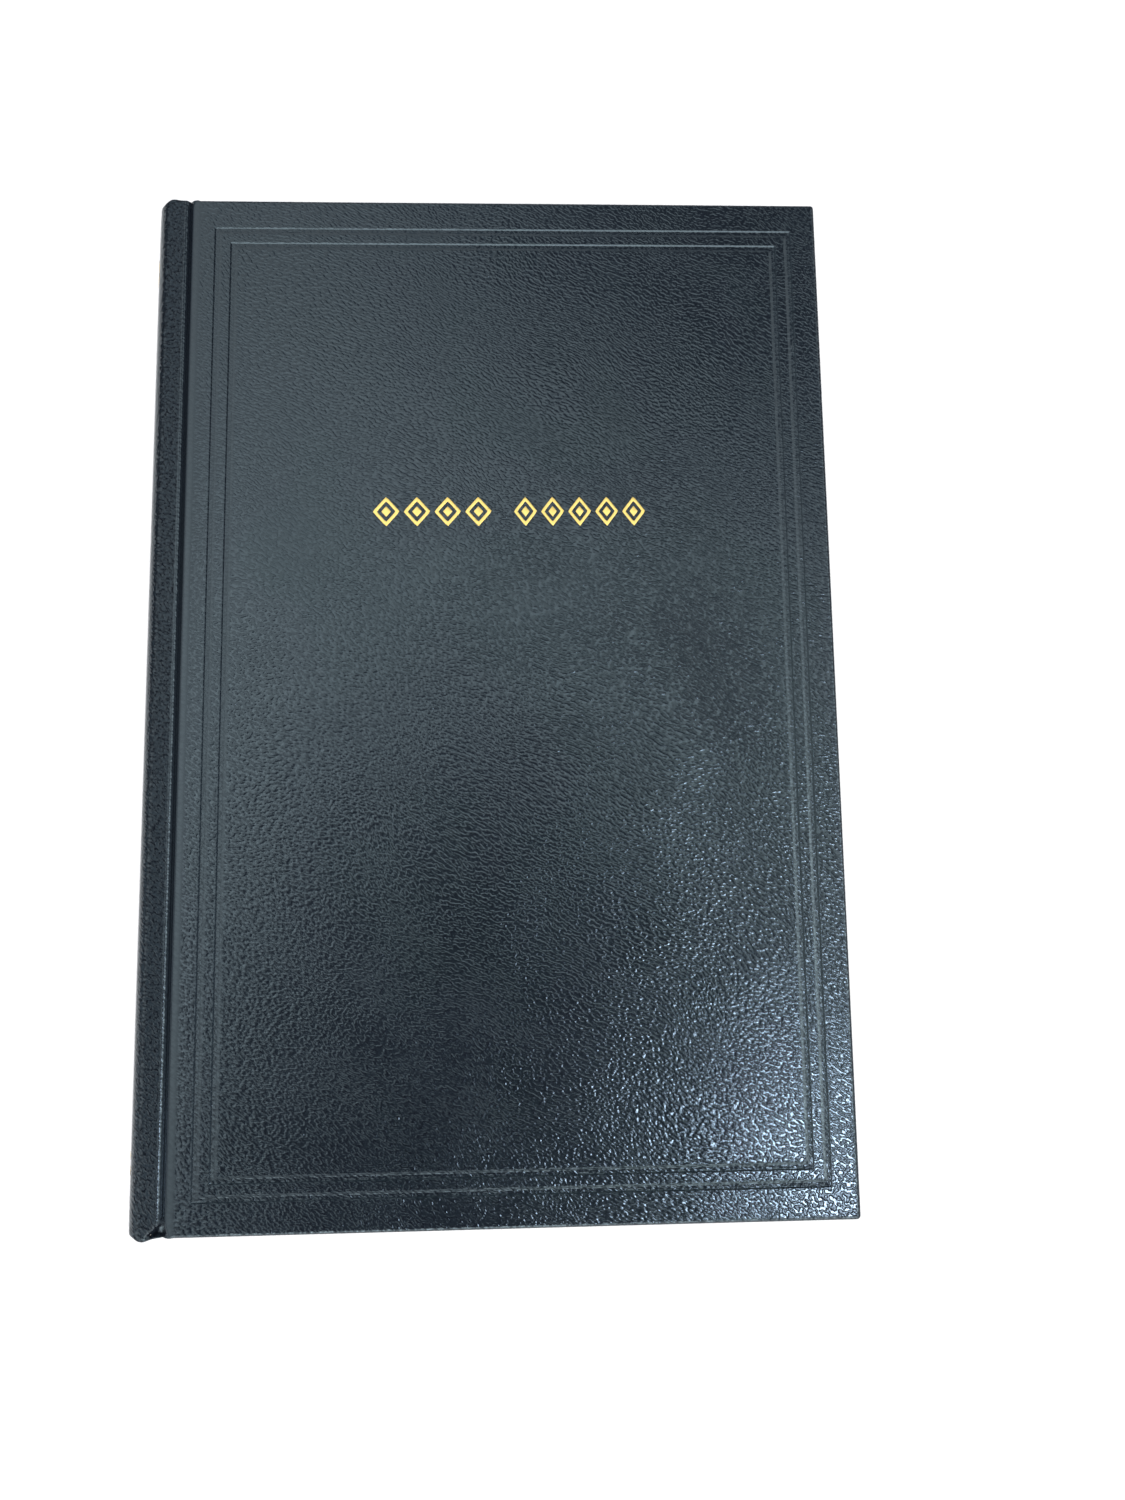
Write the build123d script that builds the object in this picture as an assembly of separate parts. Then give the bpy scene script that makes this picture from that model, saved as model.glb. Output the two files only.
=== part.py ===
from build123d import *
from math import cos, radians, sin, sqrt
import os

# A case-bound bible lying on its back cover: black covering on stiff boards, a
# rounded spine with a French groove on each side, and sewn sections of thin paper.
# X runs to the fore-edge, Y to the head and Z out of the front cover. The origin is
# the centre of the bounding box's underside, on the back cover's outer face.

# Driving dimensions, in millimetres and degrees
book_width = 148.0  # crown of the rounded spine to the fore-edge of the boards
book_height = 216.0
book_thickness = 38.0  # back cover's outer face to front cover's outer face
covering_thickness = 0.4
board_thickness = 2.4
board_width = 135.15  # groove to fore-edge, covering included
board_corner_radius = 1.2
turn_in_width = 14.0  # covering folded over onto a board's inner face
square = 3.2  # how far the boards stand out past the leaves

# Rounded spine
ridge_offset = 9.8  # crown of the spine to the crest of the ridge beside the groove
ridge_drop = 0.4  # crest of the ridge below the cover's outer face
ridge_radius = 1.3
ridge_wall_angle = 35.0  # where the ridge's round turns into the groove's wall
inlay_thickness = 0.6
spine_clearance = 0.2  # hollow between the case's spine and the text block
liner_thickness = 0.2
mull_thickness = 0.3
glue_thickness = 0.4
spine_turn_in_length = 12.0
card_setback = 2.0  # degrees that the spine's card stops short of the ridge
liner_half_angle = 47.5
mull_half_angle = 51.5
glue_half_angle = 49.5

# French groove. Each cover's hinge axis runs along Y, 11.5 mm from the spine's crown
# and 0.2 mm outside the cover's outer face.
groove_x = 11.7  # crown of the spine to the end of the groove's fixed strip
groove_depth = 1.7
apron_reach = 0.9  # groove covering that moves with the board
apron_drop = 1.4

# Stamping on the front cover
band_depth = 0.15
band_width = 1.3
band_pitch = 3.45
band_margin_fore = 5.6  # fore-edge of the cover to the outer band
band_margin_end = 6.4  # head or tail of the cover to the outer band
band_margin_groove = 3.6  # groove edge of the board to the outer band
foil_thickness = 0.05
foil_recess = 0.1
ornament_height = 6.6
ornament_y = 37.5
ornament_groups = ((-23.15, 2.05, 4), (6.6, 34.65, 5))  # left end, right end, marks
ornament_gap = 0.7  # between the marks of a group
spine_mark_y = 45.0
spine_mark_width = 9.0
spine_rules = (97.0, 94.0, -94.0, -97.0)
spine_rule_width = 0.8
spine_rule_half_angle = 33.0
lozenge_opening = 0.68  # share of the lozenge's size that its opening takes
lozenge_core = 0.36  # share that the solid lozenge in the opening takes

# Paper
section_count = 16
leaf_thickness = 0.2
leaf_pitch = 0.25
front_leaf_count = 6  # the flyleaf and five leaves of the first section
back_leaf_count = 4  # the flyleaf and three leaves of the last section
first_fold_x = 17.0  # crown of the spine to the flyleaf's fold line
fold_step = 1.0  # each leaf below folds this much nearer the fore-edge
fold_clearance = 0.35
pastedown_thickness = 0.15
shoulder_gap = 0.1  # shoulder of the first section to the covering in the groove
shoulder_flat = 0.3
pastedown_margin = 3.6
endpaper_gap = 0.1  # between the pastedown and the flyleaf
mull_flange_width = 24.6
mull_half_length = 90.0

# Headbands and sewing
headband_radius = 0.9
headband_inset = 0.6  # centre of the bead inside the folds' curve
headband_skirt = 9.0
headband_half_angle = 42.0
thread_radius = 0.15
thread_stations = (-88.0, -52.8, -17.6, 17.6, 52.8, 88.0)
thread_half_angle = 40.0

# Derived positions
crown_x = -book_width / 2
fore_x = book_width / 2
middle_z = book_thickness / 2
half_height = book_height / 2
cover_thickness = board_thickness + 2 * covering_thickness
cover_inner_z = book_thickness - cover_thickness
board_x = fore_x - board_width
ridge_x = crown_x + ridge_offset
ridge_z = book_thickness - ridge_drop - ridge_radius
rise = ridge_z - middle_z
# The spine's arc passes through the crown and is tangent to the ridge's round.
spine_radius = (ridge_offset**2 + rise**2 - ridge_radius**2) / (2 * (ridge_offset - ridge_radius))
spine_x = crown_x + spine_radius
ridge_tangent = Vector(ridge_x - spine_x, rise).get_angle(Vector(-1, 0))
inlay_radius = spine_radius - covering_thickness
turn_in_radius = inlay_radius - inlay_thickness
liner_radius = turn_in_radius - covering_thickness - spine_clearance
mull_radius = liner_radius - liner_thickness
glue_radius = mull_radius - mull_thickness
fold_radius = glue_radius - glue_thickness
leaf_half_height = half_height - square
flyleaf_z = cover_inner_z - pastedown_thickness - endpaper_gap - leaf_thickness / 2
sections_top = flyleaf_z + leaf_pitch / 2 - leaf_pitch * front_leaf_count
sections_bottom = book_thickness - flyleaf_z - leaf_pitch / 2 + leaf_pitch * back_leaf_count
section_thickness = (sections_top - sections_bottom) / section_count
leaf_width = fore_x - square - (spine_x - sqrt(fold_radius**2 - (flyleaf_z - middle_z) ** 2))


def box(x_range, y_range, z_range):
    """A box between three pairs of limits."""
    size = [high - low for low, high in (x_range, y_range, z_range)]
    centre = [(high + low) / 2 for low, high in (x_range, y_range, z_range)]
    return Pos(*centre) * Box(*size)


def prism(outline, length, y=0.0):
    """An XZ outline drawn out to a length centred on y."""
    face = make_face(Plane.XZ * outline)
    return Pos(0, y, 0) * extrude(face, amount=length / 2, both=True)


def polygon(*points):
    """A closed XZ polygon."""
    return Polyline(*points, close=True)


def ring(centre, inner, outer, start, sweep):
    """The XZ outline of part of a ring."""
    outer_arc = CenterArc(centre, outer, start, sweep)
    inner_arc = CenterArc(centre, inner, start, sweep)
    return outer_arc + Line(outer_arc @ 0, inner_arc @ 0) + Line(outer_arc @ 1, inner_arc @ 1) + inner_arc


def spine_layer(inner, outer, half_angle, length, y=0.0):
    """One curved layer of the rounded spine."""
    outline = ring((spine_x, middle_z), inner, outer, 180 - half_angle, 2 * half_angle)
    return prism(outline, length, y)


def to_back(shape):
    """The same shape on the back cover's side."""
    return Pos(0, 0, book_thickness) * mirror(shape, about=Plane.XY)


def both_ends(shape):
    """A shape at the head and its mirror image at the tail."""
    return shape + mirror(shape, about=Plane.XZ)


def back_edge_x(z, radius):
    """Where the spine's arc of a radius stands at a height."""
    return spine_x - sqrt(radius**2 - (z - middle_z) ** 2)


def rounded_slab(x_low, x_high, half_length, radius, z_range):
    """A slab whose two fore-edge corners are rounded."""
    rectangle = Pos((x_low + x_high) / 2, 0) * Rectangle(x_high - x_low, 2 * half_length)
    outline = fillet(rectangle.vertices().group_by(Axis.X)[-1], radius)
    return Pos(0, 0, z_range[0]) * extrude(outline, amount=z_range[1] - z_range[0])


# Case


def board():
    """The front board."""
    wrap = covering_thickness
    z_range = (cover_inner_z + wrap, book_thickness - wrap)
    corner = board_corner_radius - wrap
    return rounded_slab(board_x + wrap, fore_x - wrap, half_height - wrap, corner, z_range)


def cover_covering():
    """The covering of the front board, turned in over its three outer edges."""
    wrap = covering_thickness
    low_x = board_x + wrap
    outside = (cover_inner_z, book_thickness)
    shape = rounded_slab(low_x, fore_x, half_height, board_corner_radius, outside)
    window_half = half_height - wrap - turn_in_width
    window_x = (low_x, fore_x - wrap - turn_in_width)
    window = box(window_x, (-window_half, window_half), (cover_inner_z, cover_inner_z + wrap))
    foot = book_thickness - apron_drop
    apron = polygon(
        (low_x, book_thickness),
        (board_x, book_thickness),
        (board_x - apron_reach, foot),
        (board_x - apron_reach, foot - wrap),
        (low_x, book_thickness - 2 * wrap),
    )
    return shape + prism(apron, book_height) - board() - window


def stamped_bands():
    """The tools that press two nested square-cornered bands into the front cover."""
    tools = []
    for index in range(2):
        inset = index * band_pitch
        x_low = board_x + band_margin_groove + inset
        x_high = fore_x - band_margin_fore - inset
        half = half_height - band_margin_end - inset
        z_range = (book_thickness - band_depth, book_thickness)
        outer = box((x_low, x_high), (-half, half), z_range)
        inner_x = (x_low + band_width, x_high - band_width)
        inner = box(inner_x, (band_width - half, half - band_width), z_range)
        tools.append(outer - inner)
    return tools


def lozenge(width, height):
    """A lozenge outline with a small solid lozenge inside it."""

    def rhombus(scale):
        half_width = scale * width / 2
        half = scale * height / 2
        return make_face(Polyline((-half_width, 0), (0, half), (half_width, 0), (0, -half), close=True))

    return rhombus(1.0) - rhombus(lozenge_opening) + rhombus(lozenge_core)


def ornament_marks():
    """The flat outlines of the gold ornament: two groups of lozenges in a row."""
    marks = []
    for left, right, count in ornament_groups:
        pitch = (right - left + ornament_gap) / count
        for index in range(count):
            x = left + (index + 0.5) * pitch - ornament_gap / 2
            marks.append(Pos(x, ornament_y) * lozenge(pitch - ornament_gap, ornament_height))
    return marks


def stamped(marks, thickness):
    """Marks drawn down from the front cover's face."""
    return [Pos(0, 0, book_thickness) * extrude(mark, amount=-thickness) for mark in marks]


def front_foil():
    """Gold foil at the bottom of the stamped ornament."""
    drop = foil_thickness - foil_recess
    foil = [Pos(0, 0, drop) * mark for mark in stamped(ornament_marks(), foil_thickness)]
    return Compound(children=[solid for mark in foil for solid in mark.solids()])


def front_cover_covering():
    """The front cover's covering with its stamping."""
    shape = cover_covering()
    for tool in stamped_bands() + stamped(ornament_marks(), foil_recess):
        shape = shape - tool
    return shape


def cover_pastedown():
    """The endpaper leaf glued inside the front cover."""
    half = half_height - pastedown_margin
    z_range = (cover_inner_z - pastedown_thickness, cover_inner_z)
    return box((board_x + covering_thickness, fore_x - pastedown_margin), (-half, half), z_range)


def cover_mull_flange():
    """The spine cloth's flange, glued to the front board under the pastedown."""
    low_x = board_x + covering_thickness
    top = cover_inner_z + covering_thickness
    half = mull_half_length
    return box((low_x, low_x + mull_flange_width), (-half, half), (top - mull_thickness, top))


def groove_strip():
    """The ridge's round and the fixed half of the front groove, in section."""
    wrap = covering_thickness
    centre = (ridge_x, ridge_z)
    sweep = 180 - ridge_tangent - ridge_wall_angle
    round_part = ring(centre, ridge_radius - wrap, ridge_radius, ridge_wall_angle, sweep)
    foot_z = book_thickness - groove_depth
    foot_x = crown_x + groove_x
    direction = (cos(radians(ridge_wall_angle)), sin(radians(ridge_wall_angle)))
    wall_outer = (ridge_x + ridge_radius * direction[0], ridge_z + ridge_radius * direction[1])
    inner_radius = ridge_radius - wrap
    wall_inner = (ridge_x + inner_radius * direction[0], ridge_z + inner_radius * direction[1])
    strip = polygon(wall_outer, (foot_x, foot_z), (foot_x, foot_z - wrap), wall_inner)
    return prism(round_part, book_height) + prism(strip, book_height)


def spine_stamping(drop, thickness):
    """The spine's stamped rules and lozenge, at a depth below the covering's face."""
    outer = spine_radius - drop
    inner = outer - thickness
    pieces = [
        spine_layer(inner, outer, spine_rule_half_angle, spine_rule_width, y) for y in spine_rules
    ]
    layer = spine_layer(inner, outer, spine_rule_half_angle, book_height)
    outline = Plane.YZ * Pos(spine_mark_y, middle_z) * lozenge(spine_mark_width, spine_mark_width)
    pieces.append(layer & (Pos(crown_x, 0, 0) * extrude(outline, amount=ridge_offset, both=True)))
    return pieces


def spine_foil():
    """Gold rules across the spine and one lozenge between them."""
    pieces = spine_stamping(foil_recess - foil_thickness, foil_thickness)
    return Compound(children=[solid for piece in pieces for solid in piece.solids()])


def spine_covering():
    """The covering over the spine and into both grooves, turned in at head and tail."""
    wrap = covering_thickness
    shape = spine_layer(inlay_radius, spine_radius, ridge_tangent, book_height)
    shape = shape + groove_strip() + to_back(groove_strip())
    turned = turn_in_radius - wrap
    half_angle = ridge_tangent - card_setback
    length = spine_turn_in_length
    inner = spine_layer(turned, turn_in_radius, half_angle, length, half_height - length / 2)
    cap = spine_layer(turned, spine_radius, half_angle, wrap, half_height - wrap / 2)
    shape = shape + both_ends(inner + cap)
    for tool in spine_stamping(0, foil_recess):
        shape = shape - tool
    return shape


def spine_inlay():
    """The strip of card inside the covering of the spine."""
    length = book_height - 2 * covering_thickness
    return spine_layer(turn_in_radius, inlay_radius, ridge_tangent - card_setback, length)


# Text block


def section(index):
    """One folded section: round at the fold, cut to the curve of the fore-edge."""
    low = sections_bottom + index * section_thickness
    high = low + section_thickness
    middle = (low + high) / 2
    round_x = back_edge_x(middle, fold_radius - section_thickness / 2)
    fold = ThreePointArc((round_x, low), (round_x - section_thickness / 2, middle), (round_x, high))
    top = Line((round_x, high), (back_edge_x(high, fold_radius) + leaf_width, high))
    bottom = Line((back_edge_x(low, fold_radius) + leaf_width, low), (round_x, low))
    outline = fold + top + Line(top @ 1, bottom @ 0) + bottom
    return prism(outline, 2 * leaf_half_height)


def leaf_z(index):
    """The middle height of a turning leaf on the front side, counted from the cover."""
    return flyleaf_z - index * leaf_pitch


def fold_line_x(index):
    """Where a turning leaf on the front side folds."""
    return crown_x + first_fold_x + index * fold_step


def turning_leaf(index):
    """A leaf on the front side, from its fold line to the fore-edge."""
    z = leaf_z(index)
    x_range = (fold_line_x(index), back_edge_x(z, fold_radius) + leaf_width)
    half = leaf_half_height
    return box(x_range, (-half, half), (z - leaf_thickness / 2, z + leaf_thickness / 2))


def outer_section(leaf_count):
    """The sewn fold of the first section, backed into a shoulder, with its leaves' inner ends."""
    bottom = flyleaf_z + leaf_pitch / 2 - leaf_pitch * leaf_count
    shoulder_z = book_thickness - groove_depth - covering_thickness - shoulder_gap
    top = flyleaf_z + leaf_thickness / 2
    start = (back_edge_x(bottom, fold_radius), bottom)
    end = (back_edge_x(shoulder_z, fold_radius), shoulder_z)
    middle_height = (bottom + shoulder_z) / 2
    back = ThreePointArc(start, (back_edge_x(middle_height, fold_radius), middle_height), end)
    slope_start = (end[0] + shoulder_flat, shoulder_z - shoulder_flat / 2)
    edge = Polyline(end, slope_start, (board_x, top), (board_x, bottom), start)
    shape = prism(back + edge, 2 * leaf_half_height)
    half = leaf_half_height
    for index in range(leaf_count):
        z = leaf_z(index)
        x_range = (board_x, fold_line_x(index) - fold_clearance)
        shape = shape + box(x_range, (-half, half), (z - leaf_thickness / 2, z + leaf_thickness / 2))
    return shape


def curved_cord(radius, cord_radius, half_angle, y):
    """A round cord bent along the spine's curve."""
    start = 180 - half_angle
    place = Plane.XZ.offset(-y) * Pos(spine_x, middle_z) * Rot(0, 0, start) * Pos(radius, 0)
    circle = place * Rot(90, 0, 0) * Circle(cord_radius)
    axis = Axis((spine_x, y, middle_z), (0, -1, 0))
    return revolve(circle, axis=axis, revolution_arc=2 * half_angle)


def headband():
    """A headband at the head: a bead on the leaves' edge and a skirt glued to the back."""
    bead_y = leaf_half_height + headband_radius
    bead = curved_cord(fold_radius - headband_inset, headband_radius, headband_half_angle, bead_y)
    skirt_y = bead_y - headband_skirt / 2
    return bead + spine_layer(fold_radius, glue_radius, headband_half_angle, headband_skirt, skirt_y)


def sewing_thread():
    """The linked stitches across the folds, one chain at each sewing station."""
    radius = (fold_radius + glue_radius) / 2
    chains = [curved_cord(radius, thread_radius, thread_half_angle, y) for y in thread_stations]
    return Compound(children=[solid for chain in chains for solid in chain.solids()])


def spine_glue():
    """The glue over the folds, between the headbands' skirts."""
    half = leaf_half_height + headband_radius - headband_skirt
    shape = spine_layer(fold_radius, glue_radius, glue_half_angle, 2 * half)
    return shape - sewing_thread().solids()


nodes = {
    "front_board": board(),
    "front_cover_leather": front_cover_covering(),
    "front_pastedown": cover_pastedown(),
    "front_mull_flange": cover_mull_flange(),
    "front_ornament": front_foil(),
    "back_board": to_back(board()),
    "back_cover_leather": to_back(cover_covering()),
    "back_pastedown": to_back(cover_pastedown()),
    "back_mull_flange": to_back(cover_mull_flange()),
    "spine_leather": spine_covering(),
    "spine_inlay": spine_inlay(),
    "spine_ornament": spine_foil(),
    "spine_kraft_liner": spine_layer(mull_radius, liner_radius, liner_half_angle, 2 * leaf_half_height),
    "spine_mull": spine_layer(glue_radius, mull_radius, mull_half_angle, 2 * mull_half_length),
    "spine_glue": spine_glue(),
    "sewing_thread": sewing_thread(),
    "headband_head": headband(),
    "headband_tail": mirror(headband(), about=Plane.XZ),
    "front_outer_section": outer_section(front_leaf_count),
    "back_outer_section": to_back(outer_section(back_leaf_count)),
    "front_flyleaf": turning_leaf(0),
    "back_flyleaf": to_back(turning_leaf(0)),
}
for index in range(section_count):
    nodes[f"section_{index + 1:02d}"] = section(index)
for index in range(1, front_leaf_count):
    nodes[f"front_leaf_{index}"] = turning_leaf(index)
for index in range(1, back_leaf_count):
    nodes[f"back_leaf_{index}"] = to_back(turning_leaf(index))

os.makedirs("parts", exist_ok=True)
for name, shape in nodes.items():
    export_step(shape, f"parts/{name}.step")
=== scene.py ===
import bpy
import numpy as np
from math import cos, pi, radians, sin
from mathutils import Matrix, Vector


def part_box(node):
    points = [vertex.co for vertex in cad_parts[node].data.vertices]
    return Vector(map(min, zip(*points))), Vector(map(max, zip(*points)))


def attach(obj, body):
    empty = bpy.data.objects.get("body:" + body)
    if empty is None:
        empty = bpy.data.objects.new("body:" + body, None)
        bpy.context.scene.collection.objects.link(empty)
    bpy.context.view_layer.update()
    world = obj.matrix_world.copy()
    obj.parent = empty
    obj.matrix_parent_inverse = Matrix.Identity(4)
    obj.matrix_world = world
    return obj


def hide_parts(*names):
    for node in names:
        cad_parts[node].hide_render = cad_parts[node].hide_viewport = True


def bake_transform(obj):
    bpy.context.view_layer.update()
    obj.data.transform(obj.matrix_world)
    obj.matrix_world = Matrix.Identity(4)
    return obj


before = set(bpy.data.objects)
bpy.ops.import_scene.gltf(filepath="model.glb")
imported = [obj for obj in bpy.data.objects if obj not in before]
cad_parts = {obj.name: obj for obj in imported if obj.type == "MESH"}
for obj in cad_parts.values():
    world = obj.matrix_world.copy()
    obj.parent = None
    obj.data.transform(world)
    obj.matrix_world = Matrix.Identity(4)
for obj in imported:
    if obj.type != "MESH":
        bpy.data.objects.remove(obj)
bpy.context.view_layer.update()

# A case-bound bible lying on its back cover. Lengths are in millimetres until make_object
# turns them into metres. X runs to the fore-edge, Y to the head and Z out of the front cover.
MM = 0.001


def node_box(node):
    """Lowest and highest corner of a CAD node, in millimetres."""
    low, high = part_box(node)
    return np.array(low) / MM, np.array(high) / MM


# -------------------- places, from the CAD model
cover_low, cover_high = node_box("front_cover_leather")
board_low, board_high = node_box("front_board")
flyleaf_low, flyleaf_high = node_box("front_flyleaf")
pastedown_z = node_box("front_pastedown")[0][2]

thickness = cover_high[2]
half_height = cover_high[1]
fore_x = cover_high[0]
crown_x = node_box("spine_leather")[0][0]
face_z = cover_high[2]
inner_z = cover_low[2]
middle_z = thickness / 2
covering = face_z - board_high[2]
board_x = board_low[0] - covering
leaf_half = flyleaf_high[1]

spine_radius = 23.155
spine_x = crown_x + spine_radius
fold_radius = spine_radius - 2.5

# Stamping
band_pitch = 3.45
band_margins = (3.6, 5.6, 6.4)  # groove side, fore-edge, head and tail
band_steps = (-0.12, 0.0, 0.12, 0.24, 0.36, 0.5, 0.72, 0.98, 1.1, 1.58, 1.7, 1.82)  # from its outer wall
band_drops = (0.0, 0.0, 0.12, 0.23, 0.222, 0.205, 0.185, 0.165, 0.15, 0.018, 0.0, 0.0)
flat_steps = (-0.05, 0.08, 0.24, 0.36, 1.0, 1.15, 1.5, 1.65)
flat_values = (0.0, 1.0, 1.0, 0.1, 0.1, 0.9, 0.9, 0.0)
ornament_height = 6.6
ornament_y = 37.5
ornament_groups = ((-23.15, 2.05, 4), (6.6, 34.65, 5))
ornament_gap = 0.7


# -------------------- mesh helpers
def grid_faces(rows, columns, start=0, flip=False):
    """Quads of a grid of vertices stored row by row."""
    r, c = np.meshgrid(np.arange(rows - 1), np.arange(columns - 1), indexing="ij")
    a = (start + r * columns + c).ravel()
    quads = np.stack([a, a + 1, a + columns + 1, a + columns], axis=1)
    return quads[:, ::-1] if flip else quads


def strip_faces(first, second, flip=False):
    """Quads between two rows of vertex indices of the same length."""
    quads = np.stack([first[:-1], first[1:], second[1:], second[:-1]], axis=1)
    return quads[:, ::-1] if flip else quads


def shell_faces(rows, columns):
    """Faces of a closed shell of two grids, the second grid's vertices after the first one's."""
    total = rows * columns
    index = np.arange(total).reshape(rows, columns)
    return np.concatenate([
        grid_faces(rows, columns),
        grid_faces(rows, columns, total, flip=True),
        strip_faces(index[:, 0], index[:, 0] + total, flip=True),
        strip_faces(index[:, -1], index[:, -1] + total),
        strip_faces(index[0], index[0] + total),
        strip_faces(index[-1], index[-1] + total, flip=True),
    ])


def make_object(name, points, faces, uv=None, values=None, sharp=40.0):
    """A mesh object from points in millimetres, with smooth faces and sharp creases."""
    mesh = bpy.data.meshes.new(name)
    mesh.from_pydata((np.asarray(points) * MM).tolist(), [], [list(map(int, f)) for f in faces])
    if uv is not None:
        layer = mesh.uv_layers.new(name="surface")
        loops = np.empty(len(mesh.loops), dtype=np.int32)
        mesh.loops.foreach_get("vertex_index", loops)
        layer.data.foreach_set("uv", (np.asarray(uv)[loops] * MM).astype(np.float32).ravel())
    for key, value in (values or {}).items():
        attribute = mesh.attributes.new(key, "FLOAT", "POINT")
        attribute.data.foreach_set("value", np.asarray(value, np.float32))
    mesh.validate()
    mesh.polygons.foreach_set("use_smooth", [True] * len(mesh.polygons))
    mesh.set_sharp_from_angle(angle=radians(sharp))
    obj = bpy.data.objects.new(name, mesh)
    bpy.context.scene.collection.objects.link(obj)
    return obj


def paint(obj, material):
    """Gives an object a material in place of the ones it has."""
    obj.data.materials.clear()
    obj.data.materials.append(material)


def dress(obj, material, slot, *nodes):
    """Gives an object its material and hides the CAD nodes it takes the place of. The slot is not used."""
    paint(obj, material)
    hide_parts(*nodes)


def bezier(p0, p1, p2, p3, count):
    """Points along a cubic curve, without its first point."""
    t = np.linspace(0, 1, count + 1)[1:, None]
    p0, p1, p2, p3 = map(np.array, (p0, p1, p2, p3))
    return (1 - t) ** 3 * p0 + 3 * (1 - t) ** 2 * t * p1 + 3 * (1 - t) * t**2 * p2 + t**3 * p3


def smoothstep(low, high, value):
    """0 below low, 1 above high and a smooth step between."""
    t = np.clip((value - low) / (high - low), 0, 1)
    return t * t * (3 - 2 * t)


def waves(x, y, scale, seed):
    """A smooth wandering value between about -1 and 1, the same on every run."""
    draws = np.random.default_rng(seed)
    total = np.zeros(np.broadcast(x, y).shape)
    for _ in range(5):
        angle, phase, stretch = draws.uniform(0, 2 * pi), draws.uniform(0, 2 * pi), draws.uniform(0.6, 1.6)
        total = total + np.sin((x * cos(angle) + y * sin(angle)) * stretch * 2 * pi / scale + phase)
    return total / 3


# -------------------- node helpers
class Graph:
    """Short calls for building a node tree."""

    def __init__(self, tree):
        self.tree = tree

    def add(self, kind, inputs=None, **settings):
        node = self.tree.nodes.new(kind)
        for key, value in settings.items():
            setattr(node, key, value)
        for key, value in (inputs or {}).items():
            self.plug(value, node.inputs[key])
        return node

    def plug(self, value, socket):
        if isinstance(value, bpy.types.NodeSocket):
            self.tree.links.new(value, socket)
        else:
            socket.default_value = value

    def math(self, operation, a, b=0.0, c=0.0, clamp=False):
        node = self.add("ShaderNodeMath", {0: a, 1: b, 2: c}, operation=operation)
        node.use_clamp = clamp
        return node.outputs[0]

    def vector(self, operation, a, b=(0, 0, 0)):
        return self.add("ShaderNodeVectorMath", {0: a, 1: b}, operation=operation).outputs[0]

    def scaled(self, vector, scale):
        return self.vector("MULTIPLY", vector, scale)

    def noise(self, vector, scale, detail=2.0, rough=0.5, distortion=0.0):
        inputs = {"Vector": vector, "Scale": scale, "Detail": detail, "Roughness": rough}
        node = self.add("ShaderNodeTexNoise", inputs)
        node.inputs["Distortion"].default_value = distortion
        return node.outputs["Fac"]

    def noise_vector(self, vector, scale, detail=2.0):
        node = self.add("ShaderNodeTexNoise", {"Vector": vector, "Scale": scale, "Detail": detail})
        return node.outputs["Color"]

    def map(self, value, low, high, new_low=0.0, new_high=1.0, smooth=False):
        inputs = {"Value": value, "From Min": low, "From Max": high, "To Min": new_low, "To Max": new_high}
        node = self.add("ShaderNodeMapRange", inputs)
        node.interpolation_type = "SMOOTHSTEP" if smooth else "LINEAR"
        return node.outputs[0]

    def mix(self, factor, a, b):
        node = self.add("ShaderNodeMix", data_type="RGBA")
        self.plug(factor, node.inputs["Factor"])
        self.plug(a, node.inputs[6])
        self.plug(b, node.inputs[7])
        return node.outputs[2]

    def attribute(self, name):
        return self.add("ShaderNodeAttribute", attribute_name=name).outputs["Fac"]

    def surface_mm(self):
        """The surface coordinates in millimetres."""
        coordinates = self.add("ShaderNodeUVMap", uv_map="surface").outputs[0]
        return self.scaled(coordinates, (1000, 1000, 1000))

    def object_mm(self):
        """The object coordinates in millimetres."""
        coordinates = self.add("ShaderNodeTexCoord").outputs["Object"]
        return self.scaled(coordinates, (1000, 1000, 1000))


def toned(tint, share, blue_share=None):
    """A tint as an opaque colour, darkened by a share, and its blue by another one if it's given."""
    red, green, blue = tint
    return (red * share, green * share, blue * (blue_share or share), 1)


def new_material(name):
    """An empty principled material and its graph."""
    material = bpy.data.materials.new(name)
    material.use_nodes = True
    graph = Graph(material.node_tree)
    shader = material.node_tree.nodes["Principled BSDF"]
    return material, graph, shader


def bump(graph, shader, height, distance, strength=1.0):
    """Raises a surface by height times a distance in millimetres."""
    inputs = {"Height": height, "Distance": distance * MM, "Strength": strength}
    node = graph.add("ShaderNodeBump", inputs)
    graph.plug(node.outputs[0], shader.inputs["Normal"])


# -------------------- materials
grain_depth = 0.046  # millimetres
grain_lay = radians(28)  # the wrinkles' direction
grain_stretch = (0.62, 1.2, 1.0)
wrinkle_density = 1.75  # per millimetre
pebble_density = 2.9
speck_density = 2.3
least_gloss = 0.6


def grain_height(g, place):
    """Dense, worm-like wrinkles about half a millimetre apart, with finer pebbles between."""
    sway = g.vector("SUBTRACT", g.noise_vector(place, 0.035, 1.0), (0.5, 0.5, 0.5))
    bent = g.vector("ADD", place, g.scaled(sway, (9.0, 9.0, 0)))
    turn = g.add("ShaderNodeVectorRotate", {"Vector": bent, "Angle": grain_lay}, rotation_type="Z_AXIS")
    stretched = g.scaled(turn.outputs[0], grain_stretch)
    wrinkle = g.map(g.noise(stretched, wrinkle_density, 0.0, 0.5, 0.25), 0.30, 0.68, smooth=True)
    pebble = g.noise(bent, pebble_density, 0.0, 0.5, 0.0)
    height = g.math("ADD", g.math("MULTIPLY", wrinkle, 0.8), g.math("MULTIPLY", pebble, 0.25))
    return height, wrinkle


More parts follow.
